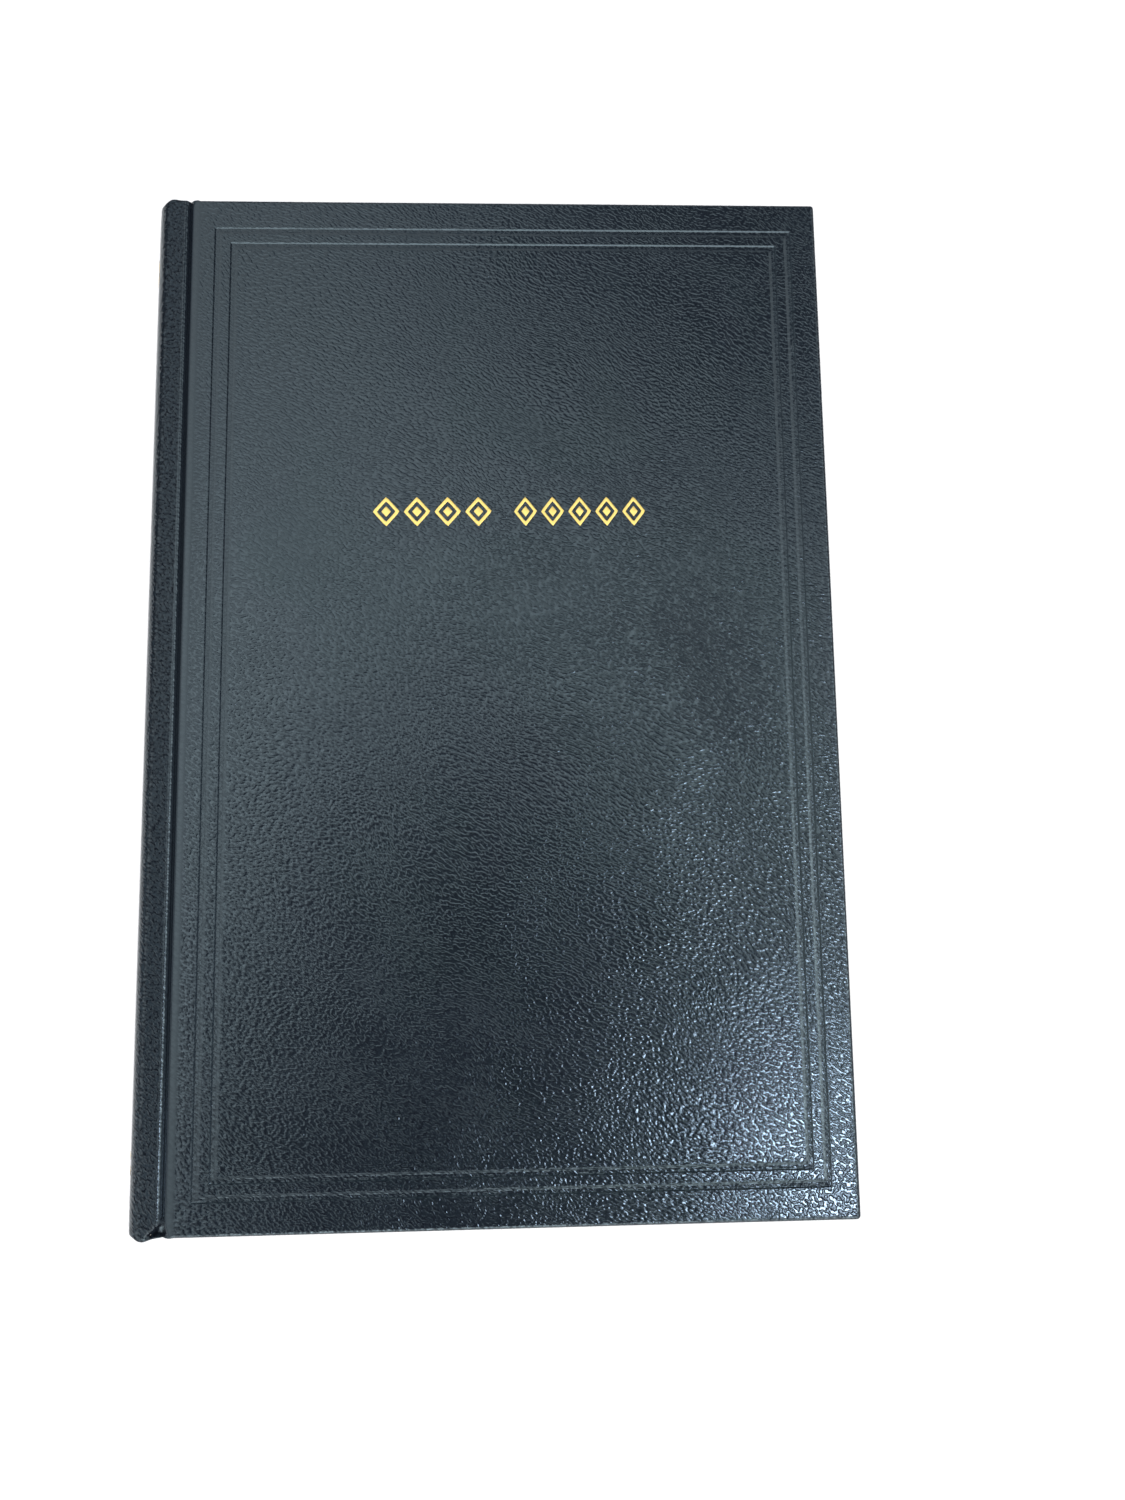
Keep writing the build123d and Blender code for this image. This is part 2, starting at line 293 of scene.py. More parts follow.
def leather_material():
    """Black pebbled imitation leather, pressed flat where the grain attribute is low."""
    material, g, shader = new_material("black_covering")
    place = g.surface_mm()
    height, wrinkle = grain_height(g, place)
    fine = g.math("MULTIPLY", g.noise(place, 9.0, 2.0, 0.6), 0.012)
    height = g.math("ADD", g.math("MULTIPLY", height, g.attribute("grain")), fine)
    bump(g, shader, height, grain_depth)

    # The grain's gloss varies more towards the tail and on the spine's shoulder.
    up_book = g.add("ShaderNodeSeparateXYZ", {0: place}).outputs
    crisp = g.math("ADD", up_book[1], g.math("MULTIPLY", up_book[0], -0.25))
    crisp = g.math("ADD", g.map(crisp, 35.0, -95.0, 0.10, 0.50, smooth=True), g.attribute("shoulder"))
    crisp = g.math("MULTIPLY", g.math("MINIMUM", crisp, 0.85), g.attribute("grain"))
    speck = g.noise(g.vector("ADD", place, (3.1, 7.7, 0.0)), speck_density, 0.0, 0.5, 0.3)
    pattern = g.math("ADD", g.math("MULTIPLY", wrinkle, 0.55), g.map(speck, 0.3, 0.7, 0.0, 0.45))
    gloss = g.math("MULTIPLY", g.math("MULTIPLY", g.math("SUBTRACT", pattern, 0.5), 1.5), crisp)
    on_shoulder = g.map(g.attribute("shoulder"), 0.0, 1.0, 1.0, 0.7)
    gloss = g.math("MULTIPLY", g.math("ADD", gloss, least_gloss), on_shoulder)
    g.plug(gloss, shader.inputs["Specular IOR Level"])

    soft = g.noise(place, 0.05, 2.0, 0.5)
    scuff = g.map(g.noise(place, 0.9, 5.0, 0.72), 0.56, 0.74)
    worn = g.math("MULTIPLY", scuff, g.attribute("edge"))
    colour = g.mix(wrinkle, (0.0035, 0.0045, 0.0075, 1), (0.0060, 0.0080, 0.0115, 1))
    colour = g.mix(g.map(soft, 0.35, 0.65, 0.0, 0.5), colour, (0.0050, 0.0066, 0.0105, 1))
    colour = g.mix(g.math("MULTIPLY", worn, 0.3), colour, (0.07, 0.075, 0.08, 1))
    g.plug(colour, shader.inputs["Base Color"])
    rough = g.map(wrinkle, 0.0, 1.0, 0.18, 0.13)
    rough = g.math("ADD", rough, g.map(soft, 0.3, 0.7, -0.01, 0.02))
    rough = g.math("ADD", rough, g.math("MULTIPLY", worn, 0.2))
    g.plug(rough, shader.inputs["Roughness"])
    shader.inputs["Specular Tint"].default_value = (0.68, 0.89, 0.99, 1)
    return material


def foil_material():
    """Stamped gold foil over the covering's grain, with painted shade where its foot meets the covering."""
    material, g, shader = new_material("gold_foil")
    place = g.surface_mm()
    cells = g.add("ShaderNodeTexVoronoi", {"Vector": place, "Scale": 1.9, "Smoothness": 0.4},
                  feature="SMOOTH_F1")
    pebble = g.map(cells.outputs["Distance"], 0.1, 0.62, 1.0, 0.0, smooth=True)
    speckle = g.noise(place, 5.0, 3.0, 0.6)
    bump(g, shader, g.math("ADD", g.math("MULTIPLY", pebble, 0.6), g.math("MULTIPLY", speckle, 0.3)), 0.02)
    rim = g.attribute("edge")
    colour = g.mix(speckle, (0.74, 0.54, 0.14, 1), (0.86, 0.66, 0.22, 1))
    # Painted shade: the foil turns a darker brown towards its foot, as if shaded at the stamped edge.
    colour = g.mix(g.math("MULTIPLY", rim, 0.75), colour, (0.50, 0.27, 0.05, 1))
    g.plug(colour, shader.inputs["Base Color"])
    shader.inputs["Metallic"].default_value = 0.85
    g.plug(g.map(speckle, 0.3, 0.7, 0.30, 0.46), shader.inputs["Roughness"])
    return material


def paper_material(name, tint, streaks=True):
    """Uncoated paper, with fine lines along cut edges where streaks is set: painted shade in the gaps
    between leaves, in fine lines and broader bands.
    """
    material, g, shader = new_material(name)
    place = g.surface_mm() if streaks else g.object_mm()
    deep = toned(tint, 0.80, 0.74)
    fibres = g.noise(place, 2.2, 4.0, 0.65)
    colour = g.mix(g.map(fibres, 0.3, 0.75, 0.0, 0.22), (*tint, 1), deep)
    height = fibres
    if streaks:
        cut = g.attribute("cut")
        lines = g.noise(g.scaled(place, (0.035, 9.0, 1.0)), 1.0, 3.0, 0.75)
        broad = g.noise(g.scaled(place, (0.012, 1.3, 1.0)), 1.0, 2.0, 0.6)
        # Painted shade: fine lines and broader bands darken the cut edges towards a shadow tone, as the
        # shade in the gaps between leaves.
        shade = g.math("ADD", g.map(lines, 0.38, 0.66, 0.42, 0.0), g.map(broad, 0.4, 0.7, 0.16, 0.0))
        colour = g.mix(g.math("MULTIPLY", shade, cut), colour, toned(tint, 0.46, 0.36))
        gaps = g.math("MULTIPLY", g.math("MULTIPLY", lines, cut), 1.6)
        height = g.math("ADD", gaps, g.math("MULTIPLY", fibres, 0.15))
    g.plug(colour, shader.inputs["Base Color"])
    g.plug(g.map(fibres, 0.3, 0.7, 0.82, 0.93), shader.inputs["Roughness"])
    shader.inputs["Specular IOR Level"].default_value = 0.25
    bump(g, shader, height, 0.03)
    return material


def headband_material():
    """Striped silk-like thread wound round a cord."""
    material, g, shader = new_material("headband_thread")
    place = g.surface_mm()
    along = g.add("ShaderNodeSeparateXYZ", {0: place}).outputs[0]
    stripe = g.math("PINGPONG", along, 1.65)
    stripe = g.map(stripe, 0.78, 0.87, smooth=True)
    fibre = g.noise(g.scaled(place, (9.0, 1.2, 1.0)), 1.0, 3.0, 0.6)
    dark = g.mix(fibre, (0.010, 0.011, 0.014, 1), (0.030, 0.032, 0.038, 1))
    light = g.mix(fibre, (0.70, 0.68, 0.62, 1), (0.86, 0.84, 0.78, 1))
    g.plug(g.mix(stripe, dark, light), shader.inputs["Base Color"])
    shader.inputs["Roughness"].default_value = 0.5
    shader.inputs["Sheen Weight"].default_value = 0.3
    bump(g, shader, fibre, 0.05)
    return material


def cloth_material(name, tint):
    """Open-weave cloth stiffened with size."""
    material, g, shader = new_material(name)
    place = g.object_mm()
    axes = g.add("ShaderNodeSeparateXYZ", {0: place})
    warp = g.math("PINGPONG", g.math("ADD", axes.outputs[0], axes.outputs[2]), 0.5)
    weft = g.math("PINGPONG", axes.outputs[1], 0.5)
    threads = g.math("MAXIMUM", g.map(warp, 0.25, 0.45), g.map(weft, 0.25, 0.45))
    fuzz = g.noise(place, 4.0, 3.0, 0.6)
    colour = g.mix(threads, toned(tint, 0.55), (*tint, 1))
    colour = g.mix(g.map(fuzz, 0.3, 0.7, 0.0, 0.25), colour, toned(tint, 0.7))
    g.plug(colour, shader.inputs["Base Color"])
    shader.inputs["Roughness"].default_value = 0.9
    bump(g, shader, g.math("ADD", threads, g.math("MULTIPLY", fuzz, 0.4)), 0.12)
    return material


def board_material(name, tint):
    """Grey-brown board or card with specks and pressed fibres."""
    material, g, shader = new_material(name)
    place = g.object_mm()
    fibres = g.noise(g.scaled(place, (1.0, 0.35, 3.0)), 1.6, 5.0, 0.7)
    specks = g.map(g.noise(place, 3.4, 2.0, 0.5), 0.62, 0.72)
    colour = g.mix(g.map(fibres, 0.3, 0.7), toned(tint, 0.8), (*tint, 1))
    colour = g.mix(g.math("MULTIPLY", specks, 0.5), colour, toned(tint, 0.35))
    g.plug(colour, shader.inputs["Base Color"])
    shader.inputs["Roughness"].default_value = 0.88
    bump(g, shader, fibres, 0.08)
    return material


def glue_material():
    """Dried white glue, slightly glossy and uneven."""
    material, g, shader = new_material("dried_glue")
    place = g.object_mm()
    lumps = g.noise(place, 0.8, 3.0, 0.6)
    g.plug(g.mix(lumps, (0.66, 0.60, 0.46, 1), (0.80, 0.76, 0.64, 1)), shader.inputs["Base Color"])
    g.plug(g.map(lumps, 0.3, 0.7, 0.3, 0.5), shader.inputs["Roughness"])
    bump(g, shader, lumps, 0.12)
    return material


black = leather_material()
gold = foil_material()
page_paper = paper_material("bible_paper_edges", (0.80, 0.765, 0.68))
leaf_paper = paper_material("bible_paper_leaf", (0.86, 0.84, 0.785))
endpaper = paper_material("endpaper_sheet", (0.88, 0.87, 0.835))
fold_paper = paper_material("folded_paper", (0.80, 0.77, 0.69), streaks=False)
kraft = board_material("kraft_lining", (0.42, 0.28, 0.16))
grey_board = board_material("binders_board", (0.36, 0.33, 0.28))
gauze = cloth_material("mull_gauze", (0.76, 0.74, 0.67))
thread_cloth = cloth_material("linen_thread", (0.84, 0.81, 0.73))
glue = glue_material()
band_thread = headband_material()


# -------------------- the case
edge_round = 0.8
case_wall = 1.4  # covering, card and turned-in covering at the spine
groove_wall = 0.5
reach_places = (3.0, 4.6, 5.4, 6.2, 6.9, 7.6, 8.5, 10.0)  # from the crown
reach_values = (0.1, 0.3, 0.62, 0.84, 0.88, 0.70, 0.38, 0.0)
spine_overhang = 1.1  # how far the spine's shoulder reaches past the boards at head and tail
crest = np.array((crown_x + 10.0, face_z - 0.95))
crest_radius = 0.75
strip_tilt = 20.0  # degrees, the slope of the spine's flat strip beside the groove
brow_tilt = 71.5
groove_bottom = np.array((crown_x + 11.0, face_z - 0.97))
end_hollows = ((-1, 2.3, 2.9), (1, 0.5, 1.6))  # the groove's ends: tail or head, depth and length


def unit(degrees_from_x):
    """The unit vector at an angle from X."""
    return np.array((cos(radians(degrees_from_x)), sin(radians(degrees_from_x))))


def outer_profile():
    """The covering's outer line from the spine's crown to the board's face.

    Also gives, for each point, the wall's thickness, the radius its ends are rolled to and how
    far its ends reach past the boards."""
    crown = np.array((crown_x, middle_z))
    brow = np.array((crown_x + 3.6, face_z - 4.0))
    shoulder = np.array((crown_x + 6.4, face_z - 1.44))
    crest_left = crest + crest_radius * unit(90 + strip_tilt)
    crest_right = crest + crest_radius * unit(40)
    brink = np.array((crown_x + 11.75, face_z - 0.33))
    face = np.array((board_x + 0.9, face_z))
    round_over = np.radians(np.linspace(90 + strip_tilt, 40, 8))[1:]
    along = unit(strip_tilt)
    rise = unit(brow_tilt)
    into_groove = (crest_right + 0.25 * unit(-50), groove_bottom - 0.2 * unit(-56))
    parts = [
        (crown[None, :], case_wall, 0.62),
        (bezier(crown, crown + (0, 6.5), brow - 5 * rise, brow, 22), case_wall, 0.62),
        (bezier(brow, brow + 1.28 * rise, shoulder - 1.28 * along, shoulder, 10), 1.1, 0.5),
        (bezier(shoulder, shoulder + along, crest_left - along, crest_left, 8), 0.65, 0.3),
        (crest + crest_radius * np.stack([np.cos(round_over), np.sin(round_over)], 1), 0.5, 0.24),
        (bezier(crest_right, *into_groove, groove_bottom, 5), 0.5, 0.22),
        (bezier(groove_bottom, groove_bottom + 0.3 * unit(48), brink - 0.2 * unit(22), brink, 5), 0.5, 0.22),
        (bezier(brink, brink + 0.6 * unit(15), face - (0.7, 0.05), face, 9), 0.5, 0.22),
    ]
    points = np.concatenate([part[0] for part in parts])
    columns = [np.concatenate([np.full(len(part[0]), part[k]) for part in parts]) for k in (1, 2)]
    ease = np.ones(5) / 5
    columns = [np.convolve(np.pad(column, 2, mode="edge"), ease, mode="valid") for column in columns]
    reach = np.interp(points[:, 0] - crown_x, reach_places, reach_values)
    return points, columns[0], columns[1], reach


def band_lines(low, high, margin_low, margin_high):
    """Grid lines over the walls of the stamped bands."""
    lines = []
    for index in range(2):
        inset = index * band_pitch
        for edge, sense in ((low + margin_low + inset, 1), (high - margin_high - inset, -1)):
            lines += [edge + sense * step for step in band_steps]
    return lines


def spaced_lines(low, high, extra, step):
    """Lines from low to high at about a step, with the extra lines kept."""
    stops = sorted([low, high] + [line for line in extra if low < line < high])
    lines = [stops[0]]
    for a, b in zip(stops, stops[1:]):
        count = max(1, round((b - a) / step))
        lines.extend(np.linspace(a, b, count + 1)[1:])
    return np.array(lines)


def band_drop(x, y):
    """How deep the stamping is at a place on the front cover, and how flat its grain is."""
    drop, flat = np.zeros(x.shape), np.zeros(x.shape)
    for index in range(2):
        inset = index * band_pitch
        from_low = x - (board_x + band_margins[0] + inset)
        from_high = (fore_x - band_margins[1] - inset) - x
        from_end = (half_height - band_margins[2] - inset) - np.abs(y)
        inside = np.minimum(np.minimum(from_low, from_high), from_end)
        drop += np.interp(inside, band_steps, band_drops, left=0.0, right=0.0)
        flat = np.maximum(flat, np.interp(inside, flat_steps, flat_values, left=0.0, right=0.0))
    return drop, flat


class Roll:
    """The grid lines along Y: flat in the middle, rolled over at both ends."""

    def __init__(self, lines):
        turns = np.radians(np.array([0, 22, 45, 68, 90]))
        flat = np.zeros(len(lines))
        self.side = np.concatenate([np.full(len(turns), -1.0), flat, np.full(len(turns), 1.0)])
        self.turn = np.concatenate([turns[::-1], flat, turns])
        self.line = np.concatenate([np.zeros(len(turns)), lines, np.zeros(len(turns))])

    def apply(self, path, normal, radius):
        """Draws a path out along Y, and rolls its ends to a radius."""
        r = radius[:, None]
        at_end = self.side[None, :] != 0
        rolled = self.side[None, :] * (half_height - r + r * np.sin(self.turn)[None, :])
        y = np.where(at_end, rolled, self.line[None, :])
        inset = np.where(at_end, r * (1 - np.cos(self.turn))[None, :], 0.0)
        return path[:, 0:1] - normal[:, 0:1] * inset, y, path[:, 1:2] - normal[:, 1:2] * inset


def path_normals(path):
    """Unit normals on the left of a path."""
    tangent = np.gradient(path, axis=0)
    normal = np.stack([-tangent[:, 1], tangent[:, 0]], 1)
    return normal / np.maximum(np.linalg.norm(normal, axis=1)[:, None], 1e-9)


def board_path():
    """The covering's outer line over the board's face and round its fore-edge."""
    flat_end = fore_x - edge_round
    extra = band_lines(board_x, fore_x, band_margins[0], band_margins[1])
    lines = spaced_lines(board_x + 0.9, flat_end, extra + [flat_end - 0.12, flat_end - 0.5], 3.0)[1:]
    face = np.stack([lines, np.full(len(lines), face_z)], 1)
    angles = np.radians(np.linspace(90, 0, 6))[1:]
    arc = np.stack([np.cos(angles), np.sin(angles)], 1)
    corner = np.array((flat_end, face_z - edge_round)) + edge_round * arc
    last = np.array([[fore_x, (face_z + inner_z) / 2 + 0.25]])
    return np.concatenate([face, corner, last])


def inner_path(outer, count, wall):
    """The covering's inner line, point for point opposite the outer one."""
    inner = outer.copy()
    inner[:count] = outer[:count] - path_normals(outer)[:count] * wall[:, None]
    share = smoothstep(board_x - 0.35, board_x + 0.3, outer[:, 0])
    on_edge = (np.arange(len(outer)) < count) & (outer[:, 0] > board_x - 0.35)
    inner[on_edge, 0] = np.maximum(outer[on_edge, 0], board_x + 0.1)
    inner[on_edge, 1] = ((face_z - groove_wall) * (1 - share) + inner_z * share)[on_edge]
    inner[count:, 1] = face_z + inner_z - outer[count:, 1]
    return inner


def shape_spine_ends(x, y, z, path, reach):
    """Lets the spine's shoulder reach past the boards and pinches the ends of the groove."""
    reach_y = spine_overhang * reach[:, None] * smoothstep(half_height - 9, half_height - 1, np.abs(y))
    at_x, at_z = path[:, 0:1], path[:, 1:2]
    for end, hollow, length in end_hollows:
        from_end = half_height - end * y
        grow = np.clip(1 - from_end / length, 0, 1)
        centre = groove_bottom[0] - 1.7 * grow
        half_width = 0.35 + 3.2 * grow
        pinch = np.clip(1 - np.abs(at_x - centre) / half_width, 0, 1) * grow**0.7
        rim = 0.3 + 0.7 * smoothstep(0.25, 0.8, from_end)
        z = z - hollow * pinch * rim * (at_z > middle_z + 12)
    return x, y + np.sign(y) * reach_y, z


def case_lines():
    """The case's grid lines along Y, close together near its ends and at the stamping."""
    near_end = [half_height - step for step in (1.05, 1.3, 1.6, 1.95, 2.4, 3.0, 4.0, 5.5)]
    for index in range(2):
        near_end += [half_height - band_margins[2] - index * band_pitch - step for step in band_steps]
    flat_y = half_height - 0.85
    return spaced_lines(-flat_y, flat_y, near_end + [-line for line in near_end], 3.4)


def ironed_grain(grain, outer):
    """The grain, pressed smooth in the groove and partly on the ridge beside it."""
    at_x, at_z = outer[:, 0:1], outer[:, 1:2]
    ironed = smoothstep(crest[0] + 0.3, crest[0] + 0.8, at_x)
    ironed = ironed * (1 - smoothstep(board_x + 0.2, board_x + 0.9, at_x))
    on_crest = np.exp(-(((at_x - crest[0]) / 0.3) ** 2)) * (at_z > middle_z + 12)
    return np.minimum(grain, 1 - 0.9 * np.maximum(ironed, 0.6 * on_crest))


def case_half(side):
    """Half of the case's covering: from the spine's crown over the groove and round one board."""
    front = side == "front"
    profile, wall, profile_round, profile_reach = outer_profile()
    count = len(profile)
    outer = np.concatenate([profile, board_path()])
    on_board = np.arange(len(outer)) >= count
    share = smoothstep(board_x - 0.35, board_x + 0.5, outer[:, 0])
    ends = np.concatenate([profile_round, np.full(len(outer) - count, edge_round)])
    ends = ends * (1 - share) + edge_round * share
    reach = np.concatenate([profile_reach, np.zeros(len(outer) - count)])
    inner = inner_path(outer, count, wall)
    inner_normal = -path_normals(inner)

    roll = Roll(case_lines())
    x, y, z = roll.apply(outer, path_normals(outer), ends)
    on_face = on_board[:, None] & (outer[:, 1:2] > face_z - 1e-6)
    on_shoulder = smoothstep(crown_x + 3.8, crown_x + 6.0, outer[:, 0:1]) * (outer[:, 0:1] < crest[0])
    grain = np.ones(x.shape) * (1 - 0.2 * on_shoulder)
    if front:
        drop, flat = band_drop(x, y)
        z = np.where(on_face, z - drop, z)
        grain = np.where(on_face, 1 - 0.88 * flat, grain)
    grain = ironed_grain(grain, outer)
    z = z + np.where(on_face, 0.03 * waves(x, y, 120.0, 3), 0.0)
    x, y, z = shape_spine_ends(x, y, z, outer, reach)
    ix, iy, iz = shape_spine_ends(*roll.apply(inner, inner_normal, ends), outer, reach)

    rows, columns = x.shape
    outer_points = np.stack([x, y, z], -1).reshape(-1, 3)
    inner_points = np.stack([ix, iy, iz], -1).reshape(-1, 3)
    points = np.concatenate([outer_points, inner_points])
    total = rows * columns
    faces = shell_faces(rows, columns)

    distance = np.concatenate([[0], np.cumsum(np.linalg.norm(np.diff(outer, axis=0), axis=1))])
    uv = np.stack([np.broadcast_to(distance[:, None], x.shape), y], -1).reshape(-1, 2)
    uv = np.concatenate([uv, uv + (0.0, 300.0)])
    rolled = smoothstep(0.2, 1.2, np.broadcast_to(roll.turn[None, :], x.shape))
    rolled = np.maximum(rolled, (outer[:, 0:1] > fore_x - edge_round + 0.2) * 1.0)
    shoulder = np.broadcast_to(on_shoulder, x.shape)
    values = {
        "shoulder": np.concatenate([shoulder.reshape(-1), np.zeros(total)]),
        "grain": np.concatenate([grain.reshape(-1), np.full(total, 0.8)]),
        "edge": np.concatenate([rolled.reshape(-1), np.zeros(total)]),
    }
    if not front:
        points[:, 2] = thickness - points[:, 2]
        faces = faces[:, ::-1]
        uv = uv + (500.0, 0.0)
    obj = make_object(f"{side}_case_covering", points, faces, uv, values, sharp=38.0)
    nodes = ("front_cover_leather", "spine_leather") if front else ("back_cover_leather",)
    dress(obj, black, "covering", *nodes)
    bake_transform(obj)


# -------------------- gold ornament
foil_rise = 0.06
foil_rim = 0.09  # how wide its softened edge is
foil_root = -0.04  # sunk into the covering
ring_opening = 0.68  # of the lozenge's size
ring_core = 0.36
rule_places = (97.0, 94.0, -94.0, -97.0)
rule_section = ((-0.4, foil_root), (-0.38, 0.03), (-0.3, foil_rise), (0.3, foil_rise), (0.38, 0.03),
                (0.4, foil_root))
rule_half_angle = radians(33)
spine_lozenge_size = 9.0
spine_lozenge_y = 45.0


def rhombus_loop(width, height, scale):
    """A lozenge's corners at a scale."""
    half_w, half_h = width * scale / 2, height * scale / 2
    return np.array([(-half_w, 0), (0, -half_h), (half_w, 0), (0, half_h)])


def raised_mark(loops, closed_inside):
    """Points and faces of one foil shape from its loops, listed from the outside in."""
    points, faces = [], []
    for loop, height in loops:
        points.extend([(p[0], p[1], height) for p in loop])
    size = len(loops[0][0])
    for ring in range(len(loops) - 1):
        for corner in range(size):
            a = ring * size + corner
            b = ring * size + (corner + 1) % size
            faces.append((a, b, b + size, a + size))
    if closed_inside:
        last = (len(loops) - 1) * size
        faces.append(tuple(last + corner for corner in range(size)))
    return np.array(points, float), faces


def densify(loop, count=6):
    """A polygon's loop with extra points along each side and slightly eased corners."""
    out = []
    for a, b in zip(loop, np.roll(loop, -1, axis=0)):
        for t in np.linspace(0, 1, count, endpoint=False):
            out.append(a + (b - a) * (0.03 if t == 0 else t))
    return np.array(out)


def lozenge_parts(width, height):
    """A lozenge ring and its core, each with softly raised edges."""

    def edge(scale, inward):
        """The softened edge of a line at a scale, from its foot to the foil's top."""
        steps = ((0, foil_root), (0.02, foil_rise * 0.6), (foil_rim, foil_rise))
        scales = [scale - 2 * inward * inset / min(width, height) * 1.3 for inset, _ in steps]
        return [(densify(rhombus_loop(width, height, size)), rise) for size, (_, rise) in zip(scales, steps)]

    ring = raised_mark(edge(1.0, 1) + edge(ring_opening, -1)[::-1], False)
    core = raised_mark(edge(ring_core, 1), True)
    return ring, core


def foot_shade_values(points):
    """1 at the foil's foot and 0 at its top: how much of the foil's painted shade a point gets."""
    return np.clip(1 - points[:, 2] / 0.055, 0, 1)


def join_marks(marks):
    """One mesh's points, faces and rim values from several marks."""
    points, faces, rim, start = [], [], [], 0
    for (mark_points, mark_faces), move in marks:
        rim.append(foot_shade_values(mark_points))
        points.append(move(mark_points))
        faces.extend([tuple(start + i for i in face) for face in mark_faces])
        start += len(mark_points)
    return np.concatenate(points), faces, np.concatenate(rim)


def front_ornament():
    """Two groups of gold lozenges in a row on the front cover."""
    marks = []
    for left, right, count in ornament_groups:
        pitch = (right - left + ornament_gap) / count
        for index in range(count):
            x = left + (index + 0.5) * pitch - ornament_gap / 2
            for part in lozenge_parts(pitch - ornament_gap, ornament_height):
                marks.append((part, lambda p, x=x: p + (x, ornament_y, face_z)))
    points, faces, rim = join_marks(marks)
    points[:, 2] += 0.03 * waves(points[:, 0], points[:, 1], 120.0, 3)
    obj = make_object("front_gold_ornament", points, faces, points[:, :2], {"edge": rim}, sharp=60.0)
    dress(obj, gold, "gold_foil", "front_ornament")
    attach(obj, "front_cover")


def spine_ornament():
    """Gold rules across the spine and one lozenge between them, bent to its curve."""
    profile = outer_profile()[0]
    profile = np.concatenate([profile[:0:-1] * (1, -1) + (0, thickness), profile])
    along = np.concatenate([[0], np.cumsum(np.linalg.norm(np.diff(profile, axis=0), axis=1))])
    along = along - along[len(along) // 2]
    normals = path_normals(profile)

    def bend(points, y_centre):
        """Lays flat points on the spine: X across it, from the crown upwards."""

        def on_spine(values):
            return np.stack([np.interp(points[:, 0], along, values[:, k]) for k in range(2)], 1)

        at = on_spine(profile) + on_spine(normals) * points[:, 2:3]
        return np.stack([at[:, 0], points[:, 1] + y_centre, at[:, 1]], 1)

    marks = []
    half_rule = rule_half_angle * spine_radius
    line = np.linspace(-half_rule, half_rule, 41)
    rows = [np.stack(np.broadcast_arrays(line, across, rise), 1) for across, rise in rule_section]
    faces = [tuple(face) for face in grid_faces(len(rows), len(line), flip=True)]
    for y in rule_places:
        marks.append(((np.concatenate(rows), faces), lambda p, y=y: bend(p, y)))
    for part in lozenge_parts(spine_lozenge_size, spine_lozenge_size):
        marks.append((part, lambda p: bend(p, spine_lozenge_y)))
    points, faces, rim = join_marks(marks)
    obj = make_object("spine_gold_ornament", points, faces, points[:, 1:], {"edge": rim}, sharp=60.0)
    dress(obj, gold, "gold_foil", "spine_ornament")
    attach(obj, "text_block")


# -------------------- paper
section_count = 16
bundle_count = 12  # bundles of leaves that a section's cut edges show
fore_count, side_count = 64, 40  # points along a section's fore-edge and along each of its ends
sheet_thickness = 0.15
pastedown_thickness = 0.13
leaf_bend = 30.0  # how far from its fold a leaf's grid lines lie close together
turn_in = (14.4, 13.8)  # from the board's edges, where the turned-in covering's step starts and ends
joint_reach = (12.05, 13.15)  # from the crown, where the endpaper bends


def back_edge_x(z, radius=fold_radius):
    """Where the rounded back of the folds is at a height."""
    return spine_x - np.sqrt(radius**2 - (z - middle_z) ** 2)


leaf_width = flyleaf_high[0] - back_edge_x((flyleaf_low[2] + flyleaf_high[2]) / 2)
sections_low = node_box("section_01")[0][2]
sections_high = node_box(f"section_{section_count:02d}")[1][2]


def leaf_wave(along, z):
    """How far the stacked leaves ripple up or down, nothing at the block's faces."""
    share = np.clip((z - sections_low) / (sections_high - sections_low), 0, 1)
    return 0.16 * np.sin(pi * share) * waves(along, z * 2.0, 95.0, 11)


def uneven_edge(number, z_low, z_high):
    """Heights up a section's cut edge, and how far the edge stands out at each."""
    draws = np.random.default_rng(100 + number)
    levels, offsets = [z_low + 0.004], [-0.1]
    for bundle in range(bundle_count):
        a = z_low + (z_high - z_low) * bundle / bundle_count
        b = z_low + (z_high - z_low) * (bundle + 1) / bundle_count
        out = draws.normal(0, 0.028)
        levels += [a + 0.12 * (b - a), b - 0.12 * (b - a), b - 0.02 * (b - a)]
        offsets += [out, out, out - 0.055]
    levels[-1] = z_high - 0.004
    offsets[-1] = -0.1
    return np.array(levels), np.array(offsets)


def section_ring():
    """Places round a section, from the fore-edge's tail end: the share of the way from the fold to
    the fore-edge, the place along Y from -1 to 1, and whether it's on the fore-edge."""
    to_fold = np.linspace(1, 0, side_count)[1:]
    to_fore = np.linspace(0, 1, side_count)[:-1]
    share = np.concatenate([np.ones(fore_count), to_fold, to_fore])
    at_head, at_tail = np.ones(side_count - 1), -np.ones(side_count - 1)
    ring_y = np.concatenate([np.linspace(-1, 1, fore_count), at_head, at_tail])
    return share, ring_y, np.arange(len(share)) < fore_count


def section_faces(rows, ring_count):
    """The faces round a section's rings, and strips between head and tail that close its ends."""
    index = np.arange(rows * ring_count).reshape(rows, ring_count)
    closed = np.concatenate([index, index[:, :1]], axis=1)
    faces = [strip_faces(closed[row], closed[row + 1]) for row in range(rows - 1)]
    last_head = fore_count + side_count - 1
    for row, flip in ((0, False), (rows - 1, True)):
        head = index[row, fore_count - 1:last_head]
        tail = np.concatenate([index[row, :1], index[row, last_head:][::-1]])
        faces.append(strip_faces(tail, head, flip=flip))
    return np.concatenate(faces)


